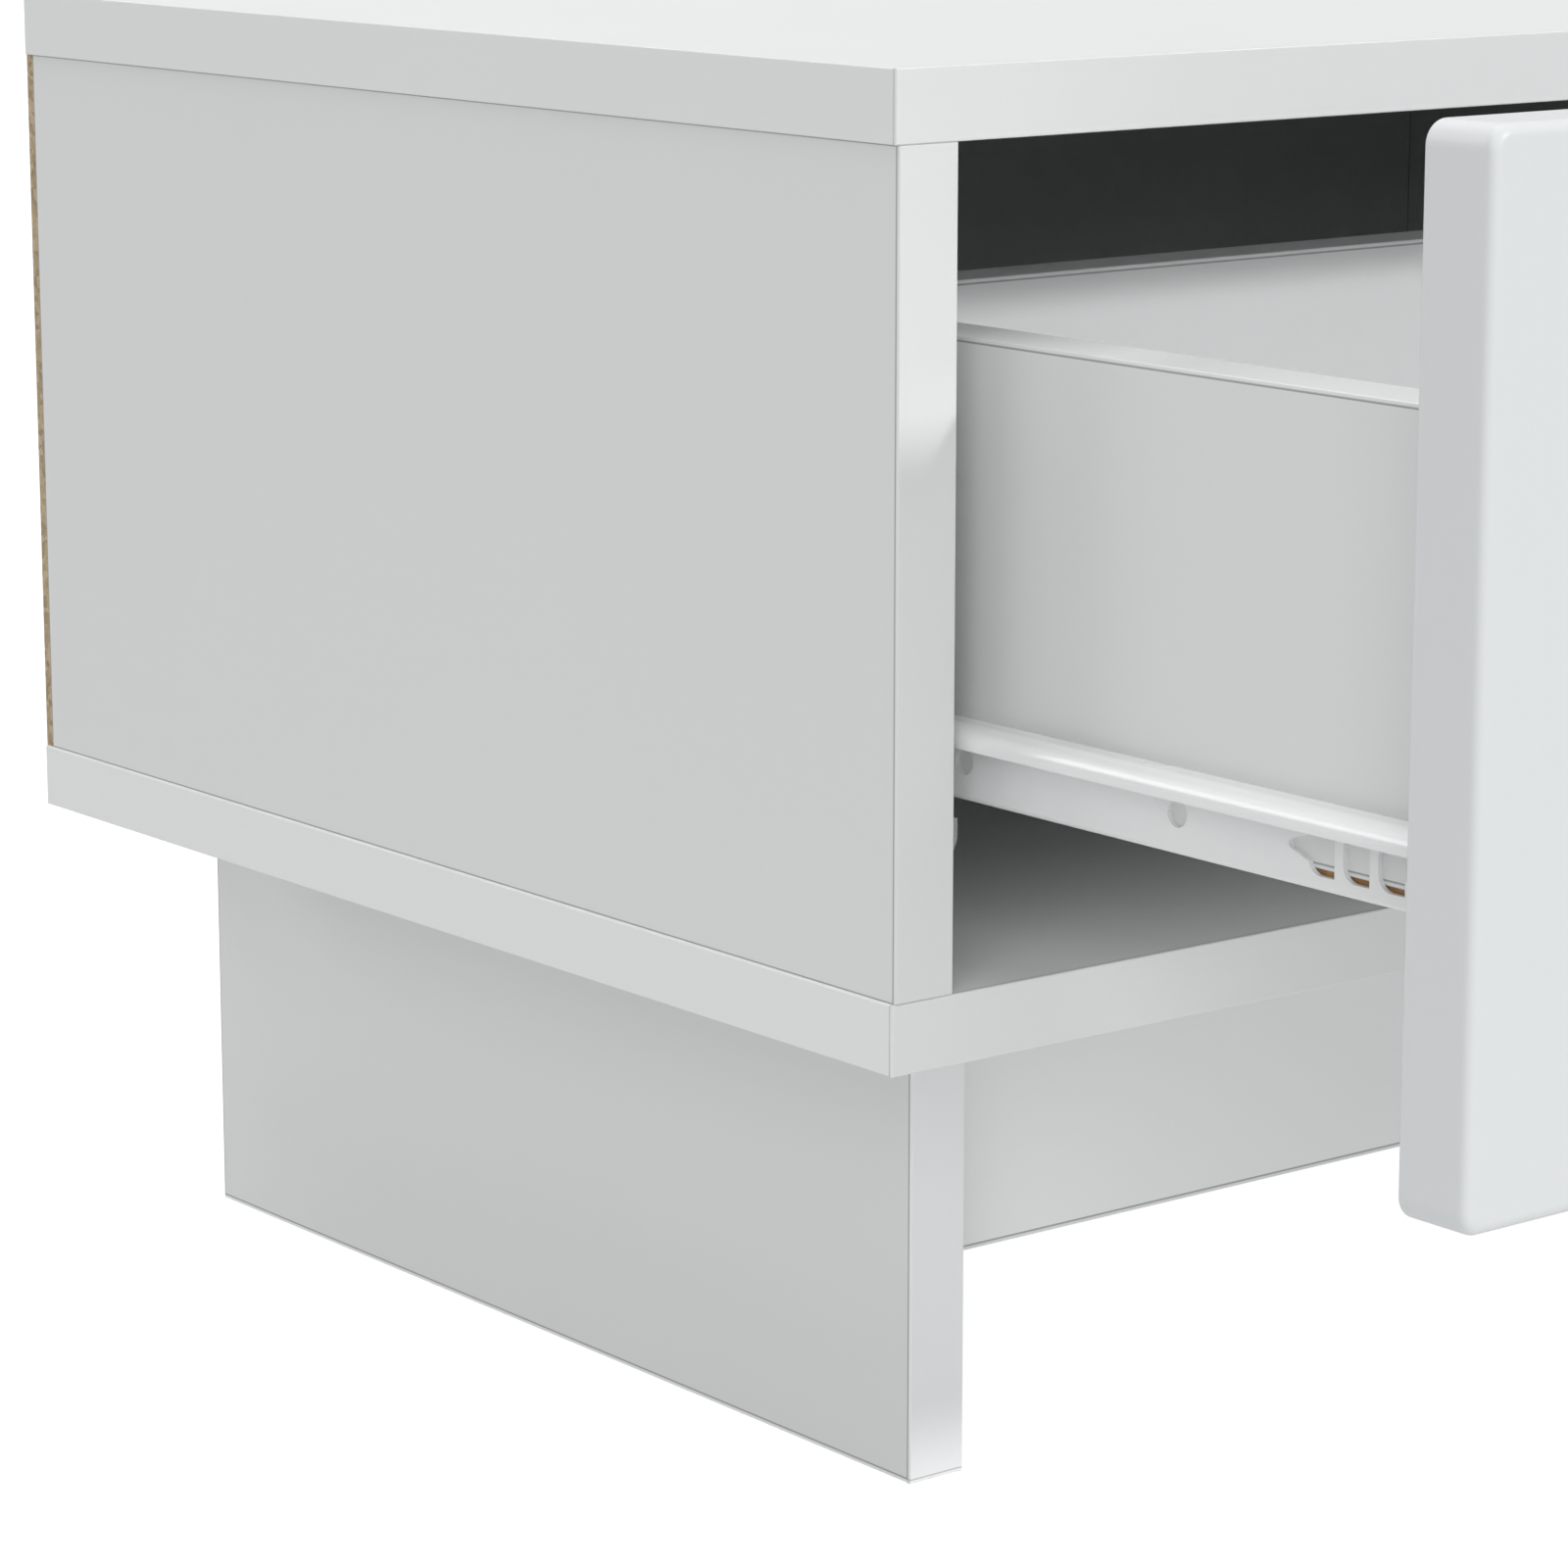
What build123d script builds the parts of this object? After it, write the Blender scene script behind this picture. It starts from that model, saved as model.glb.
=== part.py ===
from build123d import *
import os

# A low drawer unit that stands under a desk, in millimetres.
#
# It is a flat-pack piece: white melamine-faced chipboard boards with plastic edging strips, held
# together by dowels and cam fittings, one drawer on epoxy-coated roller runners, and a plinth of
# two leg boards and a kick rail set back under the body.
#
# Frame: X to the right, Y to the back, Z up, and the floor is Z = 0. The origin is the centre of
# the footprint of the whole object, with its drawer drawn out as far as it stands at rest.
# Left and right pieces mirror each other in the plane X = 0; side is -1 for left and 1 for right.

# ---- Body: boards, edging and back sheet ----
BODY_WIDTH = 526.0  # over the end strips of the top and bottom boards
BODY_DEPTH = 361.0  # from the front strips to the rear face of the back sheet
BODY_HEIGHT = 217.0  # from the underside of the bottom board to the upper face of the top board
BOARD = 16.0  # thickness of every chipboard board
EDGING = 1.0  # thickness of an edging strip
EDGING_ARRIS = 0.35  # rounding of a strip's outer edges
EDGING_JOINT = 0.05  # hairline between two strips that meet at a corner
STRIP_STOP = 0.8  # the end strips stop this far before the raw rear edge
BACK_SHEET = 3.0  # thickness of the hardboard back
REBATE = 8.0  # height of the rebate that takes the back sheet
SHEET_FIT = 0.2  # clearance round a hardboard sheet in its rebate or groove

# ---- Plinth ----
LEG_HEIGHT = 120.0
LEG_SIDE_INSET = 52.5  # from the end of the body to a leg's outer face
LEG_FRONT_INSET = 56.5  # from the front of the body to a leg's front edge
LEG_REAR_INSET = 2.0
RAIL_HEIGHT = 72.0
RAIL_INSET = 16.0  # from a leg's front edge to the kick rail's face

# ---- Drawer front ----
FRONT_THICK = 18.0
FRONT_HEIGHT = 212.0
FRONT_DROP = 0.8  # from the top of the body down to the top of the front
FRONT_CORNER = 5.0  # radius of the outline's corners
FRONT_ARRIS = 2.5  # rounding all round the face
FRONT_BACK_ARRIS = 1.0  # rounding all round the back
FRONT_GAP = 1.5  # between the front and the body when the drawer is shut
DRAWER_OPEN = 152.0  # how far the drawer is drawn out at rest

# ---- Drawer box ----
BOX_HEIGHT = 97.5  # height of the drawer sides
BOX_LENGTH = 267.0  # length of the drawer sides, from the front to the rear
BOX_SHEET = 3.2  # thickness of the hardboard bottom
BOX_SHEET_TRIM = 0.6  # from the drawer sides' outer faces to the edges of the bottom
GROOVE_DEPTH = 8.0  # how far the bottom enters the drawer front
GROOVE_SPARE = 0.5  # depth of groove left beyond the bottom

# ---- Runners ----
STEEL = 1.2
RUNNER_LENGTH = 250.0
RUNNER_GAP = 12.5  # between the body side and the drawer side
RUNNER_BEND = 1.2  # inside radius of a bend in the sheet
CABINET_RUNNER_LIFT = 31.0  # above the bottom board
CABINET_RUNNER_HEIGHT = 21.0
CABINET_RUNNER_SETBACK = 2.0  # behind the front of the body
TRACK_MARGIN = 2.0  # from the track's outer face to the drawer side
TRACK_LIP = 5.0  # height of the track's turned-up lip
HOOD_FLANGE = 8.5  # width of the flange that stops the rear roller from lifting
HOOD_START = 36.0  # where that flange begins, behind the runner's front end
DRAWER_RUNNER_STEP = 8.8  # the drawer runner's underside above the cabinet runner's
DRAWER_RUNNER_HEIGHT = 19.2
DRAWER_RUNNER_SETBACK = 2.0  # behind the drawer front
DRAWER_RUNNER_FOOT = 14.0  # width of the foot under the drawer side
FOOT_BEND = 0.5  # inside radius of the bend between the foot and the web
BEAD_MARGIN = 2.5  # from the body side to the drawer runner's rolled bead
BEAD_DROP = 5.0  # height of the bead, which runs on the front roller
BEAD_ROUND = 3.4  # middle radius of the bead's outer bend
BEAD_INNER_ROUND = 1.9  # middle radius of the bend beside the drawer side
SIDE_HOLE_RADIUS = 3.0
SIDE_HOLES = (24.0, 92.8, 161.6)  # spare fixing holes, from the drawer runner's front end
SIDE_HOLE_RISE = 9.0  # above the drawer runner's underside
WINDOW_COUNT = 3
WINDOW_START = 25.9  # from the drawer runner's front end
WINDOW_PITCH = 10.0
WINDOW_WIDTH = 7.6
WINDOW_SILL = 3.3  # above the drawer runner's underside
WINDOW_HEIGHT = 10.7
WINDOW_ROUND = 3.6
WINDOW_TAIL = 7.8  # length of the pointed end of the rearmost window
WINDOW_TAIL_HALF = 4.0
WINDOW_TAIL_ROUND = 1.0

# ---- Rollers and their pins ----
ROLLER_RADIUS = 8.0
ROLLER_WIDTH = 5.6
ROLLER_ROUND = 2.0
ROLL_GAP = 0.2  # between a roller and the steel that it rolls on
PIN_RADIUS = 2.5
PIN_FIT = 0.05  # radial clearance of a roller on its pin
PIN_PLAY = 0.15  # end play of a roller on its pin
PIN_CLEAR = 0.4  # between a pin's collar and the bead's edge or the track's lip
PIN_HEAD_RADIUS = 4.0
PIN_HEAD = 0.6
PIN_EAR_RADIUS = 5.5  # of the rounded ear that a pin is riveted to
FRONT_ROLLER_INSET = 4.6  # from the body side to the front roller's outer face
FRONT_ROLLER_SETBACK = 20.0  # behind the cabinet runner's front end
REAR_ROLLER_INSET = 2.45  # from the body side to the rear roller's outer face
REAR_ROLLER_END = 9.0  # before the drawer runner's rear end
TRAVEL_SHUT = 152.0  # from rest to shut
TRAVEL_OPEN = 33.0  # from rest to fully open
STOP_GAP = 0.5  # between the rear roller and a stop at the end of its travel
STOP_HEIGHT = 8.0
BUMP_HEIGHT = 2.0
BUMP_LENGTH = 4.0

# ---- Fasteners ----
CAM_RADIUS = 7.4
CAM_DEPTH = 12.5
CAM_REACH = 24.0  # from the end of a board to its cam
CAM_FIT = 0.1
CAM_MOUTH = 4.0  # radius of the opening that takes the bolt's head
CAM_CROSS = (9.0, 1.6, 1.5)  # length, width and depth of the screwdriver slots
BOLT_THREAD = (3.15, 11.0)  # radius and length of each stretch of a cam bolt
BOLT_COLLAR = (3.9, 3.0)
BOLT_SHANK = (3.0, 16.0)
BOLT_NECK = (2.2, 3.5)
BOLT_HEAD = (3.4, 3.5)
DOWEL_RADIUS = 4.0
DOWEL_IN_END = 18.0
DOWEL_IN_FACE = 12.0
DOWEL_CHAMFER = 1.0
SCREW_RADIUS = 1.75
SCREW_HEAD_RADIUS = 3.5
SCREW_CROSS = (3.6, 0.8, 1.1)  # length, width and depth of the driver slots
RUNNER_SCREW = 14.5
FOOT_SCREW = 16.0
BACK_SCREW = 40.0
NAIL_RADIUS = 0.8
NAIL_HEAD_RADIUS = 1.6
NAIL_HEAD = 0.8
NAIL_LENGTH = 20.0

# ---- Where the fasteners go ----
CASE_JOINT_INSET = 50.0  # from either end of a body side to its cams
CASE_DOWEL_STEP = 32.0  # from a cam to the dowel beside it
LEG_JOINT_INSET = 60.0
RAIL_DOWEL_STEP = 22.0  # above and below the kick rail's cam
BOX_JOINT_INSET = 25.0  # from the edges of a drawer side to its cams
RUNNER_SCREW_FIRST = 37.0  # from the front of the body
RUNNER_SCREW_STEP = 96.0
RUNNER_SCREW_COUNT = 3
RUNNER_SCREW_RISE = 11.0  # above the cabinet runner's underside
FOOT_SCREW_INSET = 30.0  # from the drawer runner's ends
FOOT_SCREW_COUNT = 3
SIDE_NAILS = 4
REBATE_NAILS = 5
NAIL_MARGIN = 25.0  # from the corners of the back to the nearest nail
BOX_NAILS = 5

# ---- Planes across the width, as distances from the middle ----
HALF_WIDTH = BODY_WIDTH / 2
SIDE_OUT = HALF_WIDTH - EDGING
SIDE_IN = SIDE_OUT - BOARD
BOX_OUT = SIDE_IN - RUNNER_GAP
BOX_IN = BOX_OUT - BOARD
LEG_OUT = HALF_WIDTH - LEG_SIDE_INSET
LEG_IN = LEG_OUT - BOARD

# ---- Planes from front to back ----
FACE_Y = -(BODY_DEPTH + DRAWER_OPEN + FRONT_GAP + FRONT_THICK) / 2
BOX_Y = FACE_Y + FRONT_THICK
BOX_REAR_Y = BOX_Y + BOX_LENGTH
CASE_Y = BOX_Y + DRAWER_OPEN + FRONT_GAP
CASE_REAR_Y = CASE_Y + BODY_DEPTH
SIDE_REAR_Y = CASE_REAR_Y - BACK_SHEET
LEG_Y = CASE_Y + LEG_FRONT_INSET
LEG_REAR_Y = CASE_REAR_Y - LEG_REAR_INSET
RAIL_Y = LEG_Y + RAIL_INSET
CABINET_RUNNER_Y = CASE_Y + CABINET_RUNNER_SETBACK
DRAWER_RUNNER_Y = BOX_Y + DRAWER_RUNNER_SETBACK
DRAWER_RUNNER_END_Y = DRAWER_RUNNER_Y + RUNNER_LENGTH
FRONT_ROLLER_Y = CABINET_RUNNER_Y + FRONT_ROLLER_SETBACK
REAR_ROLLER_Y = DRAWER_RUNNER_END_Y - REAR_ROLLER_END

# ---- Heights ----
BODY_BOTTOM = LEG_HEIGHT
FLOOR_TOP = BODY_BOTTOM + BOARD
BODY_TOP = BODY_BOTTOM + BODY_HEIGHT
CEILING = BODY_TOP - BOARD
FRONT_TOP = BODY_TOP - FRONT_DROP
CABINET_RUNNER_Z = FLOOR_TOP + CABINET_RUNNER_LIFT
DRAWER_RUNNER_Z = CABINET_RUNNER_Z + DRAWER_RUNNER_STEP
BOX_SHEET_Z = DRAWER_RUNNER_Z + STEEL
BOX_BOTTOM = BOX_SHEET_Z + BOX_SHEET
BOX_TOP = BOX_BOTTOM + BOX_HEIGHT
BEAD_TOP_Z = DRAWER_RUNNER_Z + DRAWER_RUNNER_HEIGHT
FRONT_ROLLER_Z = BEAD_TOP_Z - STEEL - ROLL_GAP - ROLLER_RADIUS
REAR_ROLLER_Z = CABINET_RUNNER_Z + STEEL + ROLL_GAP + ROLLER_RADIUS
PIN_COLLAR_RADIUS = STEEL + ROLL_GAP + ROLLER_RADIUS - max(BEAD_DROP, TRACK_LIP) - PIN_CLEAR

FRONTWARD = Axis((0, 0, 0), (0, -1, 0))
UPWARD = Axis((0, 0, 0), (0, 0, 1))
DOWNWARD = Axis((0, 0, 0), (0, 0, -1))
SIDEWARD = {-1: Axis((0, 0, 0), (-1, 0, 0)), 1: Axis((0, 0, 0), (1, 0, 0))}

os.makedirs("parts", exist_ok=True)


# ---- Helpers ----
def save(piece, label):
    """Labels a finished piece and writes its STEP file."""
    piece.part.label = label
    export_step(piece.part, f"parts/{label}.step")


def across(side, inner, outer):
    """The low and high X of a board between two distances from the middle, on one side."""
    return sorted((side * inner, side * outer))


def spread(first, last, count):
    """Evenly spaced places from first to last."""
    step = (last - first) / (count - 1)
    return [first + step * index for index in range(count)]


def block(x, y, z, mode=Mode.ADD):
    """A rectangular block between two limits along each axis, in the part being built."""
    with BuildSketch(Plane.XY.offset(z[0])) as outline:
        with Locations(((x[0] + x[1]) / 2, (y[0] + y[1]) / 2)):
            Rectangle(x[1] - x[0], y[1] - y[0])
    extrude(outline.sketch, amount=z[1] - z[0], mode=mode)


def strip(x, y, z, outward):
    """An edging strip with rounded outer edges; outward is the axis that its face looks along."""
    with BuildPart() as piece:
        block(x, y, z)
        fillet(piece.faces().sort_by(outward)[-1].edges(), EDGING_ARRIS)
    return piece.part


def copies(shape, places):
    """One shape at each of several planes, as separate solids."""
    with BuildPart() as group:
        with Locations(*places):
            add(shape.part)
    return group


def both_sides(shape):
    """The left-hand shape and its mirror image, as separate solids."""
    with BuildPart() as pair:
        add(shape.part)
        mirror(shape.part, about=Plane.YZ)
    return pair


def other_side(shape):
    """The mirror image of a left-hand shape."""
    with BuildPart() as image:
        mirror(shape.part, about=Plane.YZ)
    return image


def driver_slots(plane, slots):
    """Cuts a cross for a screwdriver into the head that lies on a plane."""
    length, width, depth = slots
    with BuildSketch(plane) as cross:
        Rectangle(length, width)
        Rectangle(width, length)
    extrude(cross.sketch, amount=-depth, mode=Mode.SUBTRACT)


# ---- Fastener shapes ----
# Each is drawn in the frame of its joint: Z = 0 is the joint's face, and Z points into the piece
# that the thread or the tip goes into. A cam opens towards X.
def turned(profile):
    """A solid of revolution about Z, from the (radius, height) corners of its half section."""
    with BuildPart() as piece:
        with BuildSketch(Plane.XZ):
            with BuildLine():
                Polyline(*profile, close=True)
            make_face()
        revolve(axis=Axis.Z)
    return piece


def cam_bolt_profile():
    """Half section of a cam bolt: its thread above Z = 0, its shank and head below."""
    corners = [(0, BOLT_THREAD[1]), (BOLT_THREAD[0] / 2, BOLT_THREAD[1])]
    corners.append((BOLT_THREAD[0], BOLT_THREAD[1] - BOLT_THREAD[0] / 2))
    corners.append((BOLT_THREAD[0], 0))
    height = 0
    for radius, length in (BOLT_COLLAR, BOLT_SHANK, BOLT_NECK, BOLT_HEAD):
        corners.append((radius, height))
        height -= length
        corners.append((radius, height))
    corners.append((0, height))
    return corners


def screw(length):
    """A countersunk screw with its head flush at Z = 0 and its tip along Z."""
    cone = SCREW_HEAD_RADIUS - SCREW_RADIUS
    corners = [(0, 0), (SCREW_HEAD_RADIUS, 0), (SCREW_RADIUS, cone)]
    corners += [(SCREW_RADIUS, length - SCREW_RADIUS * 2), (0, length)]
    return turned(corners)


def slotted(shape):
    """A screw with the cross for its driver cut into its head."""
    with BuildPart() as piece:
        add(shape.part)
        driver_slots(Plane.XY.rotated((180, 0, 0)), SCREW_CROSS)
    return piece


cam_bolt = turned(cam_bolt_profile())
runner_screw = screw(RUNNER_SCREW)
foot_screw = screw(FOOT_SCREW)
back_screw = screw(BACK_SCREW)
nail = turned(
    [
        (0, 0),
        (NAIL_HEAD_RADIUS, 0),
        (NAIL_HEAD_RADIUS, NAIL_HEAD),
        (NAIL_RADIUS, NAIL_HEAD),
        (NAIL_RADIUS, NAIL_LENGTH - NAIL_RADIUS * 2),
        (0, NAIL_LENGTH),
    ]
)

with BuildPart() as dowel:
    with BuildSketch(Plane.XY.offset(-DOWEL_IN_END)):
        Circle(DOWEL_RADIUS)
    extrude(amount=DOWEL_IN_END + DOWEL_IN_FACE)
    chamfer(dowel.edges().filter_by(GeomType.CIRCLE), DOWEL_CHAMFER)

with BuildPart() as cam:
    with BuildSketch(Plane.YZ.offset(BOARD / 2 - CAM_DEPTH)):
        with Locations((0, -CAM_REACH)):
            Circle(CAM_RADIUS)
    extrude(amount=CAM_DEPTH)
    with BuildSketch(Plane.XY.offset(-CAM_REACH - CAM_MOUTH)):
        Circle(CAM_MOUTH)
    extrude(amount=CAM_RADIUS + CAM_MOUTH, mode=Mode.SUBTRACT)
    driver_slots(Plane((BOARD / 2, 0, -CAM_REACH), x_dir=(0, 1, 0), z_dir=(1, 0, 0)), CAM_CROSS)

# The pocket and the end bore that a board needs for one cam and its bolt.
with BuildPart() as cam_housing:
    with BuildSketch(Plane.YZ.offset(BOARD / 2 - CAM_DEPTH - CAM_FIT)):
        with Locations((0, -CAM_REACH)):
            Circle(CAM_RADIUS + CAM_FIT)
    extrude(amount=CAM_DEPTH + CAM_FIT)
    with BuildSketch(Plane.XY.offset(-CAM_REACH - CAM_MOUTH)):
        Circle(CAM_MOUTH + CAM_FIT)
    extrude(amount=CAM_REACH + CAM_MOUTH)


# ---- Joints between the boards ----
def joint(origin, into, face):
    """A joint's plane: into is where the thread goes, and face is where the cam opens."""
    return Plane(origin, x_dir=face, z_dir=into)


case_joints = []
case_dowel_places = []
leg_joints = []
leg_dowel_places = []
rail_joints = []
rail_dowel_places = []
box_joints = []
box_dowel_places = []
back_screw_places = []
back_dowel_places = []

for side in (-1, 1):
    inward = (-side, 0, 0)
    outward = (side, 0, 0)
    for height, into in ((FLOOR_TOP, (0, 0, -1)), (CEILING, (0, 0, 1))):
        middle_x = side * (SIDE_IN + BOARD / 2)
        for y, step in ((CASE_Y + CASE_JOINT_INSET, 1), (SIDE_REAR_Y - CASE_JOINT_INSET, -1)):
            case_joints.append(joint((middle_x, y, height), into, inward))
            dowel_y = y + step * CASE_DOWEL_STEP
            case_dowel_places.append(joint((middle_x, dowel_y, height), into, inward))
    for y, step in ((LEG_Y + LEG_JOINT_INSET, 1), (LEG_REAR_Y - LEG_JOINT_INSET, -1)):
        middle_x = side * (LEG_IN + BOARD / 2)
        leg_joints.append(joint((middle_x, y, BODY_BOTTOM), (0, 0, 1), inward))
        dowel_y = y + step * CASE_DOWEL_STEP
        leg_dowel_places.append(joint((middle_x, dowel_y, BODY_BOTTOM), (0, 0, 1), inward))
    rail_middle = (RAIL_Y + BOARD / 2, BODY_BOTTOM - RAIL_HEIGHT / 2)
    rail_joints.append(joint((side * LEG_IN, *rail_middle), outward, (0, 1, 0)))
    for step in (-RAIL_DOWEL_STEP, RAIL_DOWEL_STEP):
        place = (side * LEG_IN, rail_middle[0], rail_middle[1] + step)
        rail_dowel_places.append(joint(place, outward, (0, 1, 0)))
    for height in (BOX_BOTTOM + BOX_JOINT_INSET, BOX_TOP - BOX_JOINT_INSET):
        box_joints.append(joint((side * (BOX_IN + BOARD / 2), BOX_Y, height), (0, -1, 0), inward))
        place = (side * BOX_OUT, BOX_REAR_Y - BOARD / 2, height)
        back_screw_places.append(joint(place, inward, (0, 0, 1)))
    box_middle = (BOX_BOTTOM + BOX_TOP) / 2
    place = (side * (BOX_IN + BOARD / 2), BOX_Y, box_middle)
    box_dowel_places.append(joint(place, (0, -1, 0), inward))
    place = (side * BOX_IN, BOX_REAR_Y - BOARD / 2, box_middle)
    back_dowel_places.append(joint(place, outward, (0, 0, 1)))

case_cams = copies(cam, case_joints)
case_cam_bolts = copies(cam_bolt, case_joints)
case_housings = copies(cam_housing, case_joints)
case_dowels = copies(dowel, case_dowel_places)
leg_cams = copies(cam, leg_joints)
leg_cam_bolts = copies(cam_bolt, leg_joints)
leg_housings = copies(cam_housing, leg_joints)
leg_dowels = copies(dowel, leg_dowel_places)
kick_rail_cams = copies(cam, rail_joints)
kick_rail_cam_bolts = copies(cam_bolt, rail_joints)
kick_rail_housings = copies(cam_housing, rail_joints)
kick_rail_dowels = copies(dowel, rail_dowel_places)
drawer_front_cams = copies(cam, box_joints)
drawer_front_cam_bolts = copies(cam_bolt, box_joints)
drawer_front_housings = copies(cam_housing, box_joints)
drawer_front_dowels = copies(dowel, box_dowel_places)
drawer_back_screws = copies(slotted(back_screw), back_screw_places)
drawer_back_screw_bores = copies(back_screw, back_screw_places)
drawer_back_dowels = copies(dowel, back_dowel_places)

nail_places = []
for x in (-SIDE_IN - BOARD / 2, SIDE_IN + BOARD / 2):
    for z in spread(FLOOR_TOP + NAIL_MARGIN, CEILING - NAIL_MARGIN, SIDE_NAILS):
        nail_places.append(joint((x, CASE_REAR_Y, z), (0, -1, 0), (1, 0, 0)))
for z in (FLOOR_TOP - REBATE / 2, CEILING + REBATE / 2):
    for x in spread(-SIDE_IN + NAIL_MARGIN, SIDE_IN - NAIL_MARGIN, REBATE_NAILS):
        nail_places.append(joint((x, CASE_REAR_Y, z), (0, -1, 0), (1, 0, 0)))
back_panel_nails = copies(nail, nail_places)

box_nail_places = []
for x in spread(-BOX_IN + NAIL_MARGIN, BOX_IN - NAIL_MARGIN, BOX_NAILS):
    box_nail_places.append(joint((x, BOX_REAR_Y - BOARD / 2, BOX_SHEET_Z), (0, 0, 1), (1, 0, 0)))
drawer_bottom_nails = copies(nail, box_nail_places)

runner_screw_places = []
foot_screw_places = []
for side in (-1, 1):
    for index in range(RUNNER_SCREW_COUNT):
        y = CASE_Y + RUNNER_SCREW_FIRST + RUNNER_SCREW_STEP * index
        place = (side * (SIDE_IN - STEEL), y, CABINET_RUNNER_Z + RUNNER_SCREW_RISE)
        runner_screw_places.append(joint(place, (side, 0, 0), (0, 0, 1)))
    first = DRAWER_RUNNER_Y + FOOT_SCREW_INSET
    last = DRAWER_RUNNER_END_Y - FOOT_SCREW_INSET
    for y in spread(first, last, FOOT_SCREW_COUNT):
        place = (side * (BOX_OUT - BOARD / 2), y, DRAWER_RUNNER_Z)
        foot_screw_places.append(joint(place, (0, 0, 1), (1, 0, 0)))
cabinet_runner_screws = copies(slotted(runner_screw), runner_screw_places)
cabinet_runner_bores = copies(runner_screw, runner_screw_places)
drawer_runner_screws = copies(slotted(foot_screw), foot_screw_places)
drawer_runner_bores = copies(foot_screw, foot_screw_places)


# ---- Top and bottom boards ----
def end_board(z, rebate_z):
    """The top or the bottom board's core, with the rebate for the back sheet."""
    with BuildPart() as piece:
        block((-SIDE_OUT, SIDE_OUT), (CASE_Y + EDGING, CASE_REAR_Y), z)
        block((-SIDE_OUT, SIDE_OUT), (SIDE_REAR_Y, CASE_REAR_Y), rebate_z, Mode.SUBTRACT)
        add(case_cam_bolts.part, mode=Mode.SUBTRACT)
        add(leg_cam_bolts.part, mode=Mode.SUBTRACT)
        add(case_dowels.part, mode=Mode.SUBTRACT)
        add(leg_dowels.part, mode=Mode.SUBTRACT)
        add(back_panel_nails.part, mode=Mode.SUBTRACT)
    return piece


def end_board_edging(z):
    """The strips on the front and on both ends of the top or the bottom board."""
    end_y = (CASE_Y + EDGING + EDGING_JOINT, CASE_REAR_Y - STRIP_STOP)
    with BuildPart() as strips:
        add(strip((-HALF_WIDTH, HALF_WIDTH), (CASE_Y, CASE_Y + EDGING), z, FRONTWARD))
        for side in (-1, 1):
            add(strip(across(side, SIDE_OUT, HALF_WIDTH), end_y, z, SIDEWARD[side]))
    return strips


top_panel = end_board((CEILING, BODY_TOP), (CEILING, CEILING + REBATE))
bottom_panel = end_board((BODY_BOTTOM, FLOOR_TOP), (FLOOR_TOP - REBATE, FLOOR_TOP))
top_panel_edging = end_board_edging((CEILING, BODY_TOP))
bottom_panel_edging = end_board_edging((BODY_BOTTOM, FLOOR_TOP))


# ---- Body sides and back ----
def side_panel(side):
    """A body side between the bottom and the top board."""
    with BuildPart() as piece:
        x = across(side, SIDE_IN, SIDE_OUT)
        block(x, (CASE_Y + EDGING, SIDE_REAR_Y), (FLOOR_TOP, CEILING))
        add(case_housings.part, mode=Mode.SUBTRACT)
        add(case_dowels.part, mode=Mode.SUBTRACT)
        add(cabinet_runner_bores.part, mode=Mode.SUBTRACT)
        add(back_panel_nails.part, mode=Mode.SUBTRACT)
    return piece


left_side_panel = side_panel(-1)
right_side_panel = side_panel(1)

with BuildPart() as side_panel_edging:
    for side in (-1, 1):
        x = across(side, SIDE_IN, SIDE_OUT)
        add(strip(x, (CASE_Y, CASE_Y + EDGING), (FLOOR_TOP, CEILING), FRONTWARD))

with BuildPart() as back_panel:
    tongue = REBATE - SHEET_FIT
    block((-SIDE_OUT, SIDE_OUT), (SIDE_REAR_Y, CASE_REAR_Y), (FLOOR_TOP - tongue, CEILING + tongue))
    add(back_panel_nails.part, mode=Mode.SUBTRACT)


# ---- Plinth ----
def leg_panel(side):
    """A leg board, cored short of its front and bottom strips."""
    with BuildPart() as piece:
        block(across(side, LEG_IN, LEG_OUT), (LEG_Y + EDGING, LEG_REAR_Y), (EDGING, BODY_BOTTOM))
        add(leg_housings.part, mode=Mode.SUBTRACT)
        add(leg_dowels.part, mode=Mode.SUBTRACT)
        add(kick_rail_cam_bolts.part, mode=Mode.SUBTRACT)
        add(kick_rail_dowels.part, mode=Mode.SUBTRACT)
    return piece


left_leg_panel = leg_panel(-1)
right_leg_panel = leg_panel(1)

with BuildPart() as leg_panel_edging:
    for side in (-1, 1):
        x = across(side, LEG_IN, LEG_OUT)
        add(strip(x, (LEG_Y, LEG_Y + EDGING), (0, BODY_BOTTOM), FRONTWARD))
        add(strip(x, (LEG_Y + EDGING + EDGING_JOINT, LEG_REAR_Y), (0, EDGING), DOWNWARD))

with BuildPart() as kick_rail:
    rail_z = (BODY_BOTTOM - RAIL_HEIGHT + EDGING, BODY_BOTTOM)
    block((-LEG_IN, LEG_IN), (RAIL_Y, RAIL_Y + BOARD), rail_z)
    add(kick_rail_housings.part, mode=Mode.SUBTRACT)
    add(kick_rail_dowels.part, mode=Mode.SUBTRACT)

with BuildPart() as kick_rail_edging:
    rail_foot = (BODY_BOTTOM - RAIL_HEIGHT, BODY_BOTTOM - RAIL_HEIGHT + EDGING)
    add(strip((-LEG_IN, LEG_IN), (RAIL_Y, RAIL_Y + BOARD), rail_foot, DOWNWARD))

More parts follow.
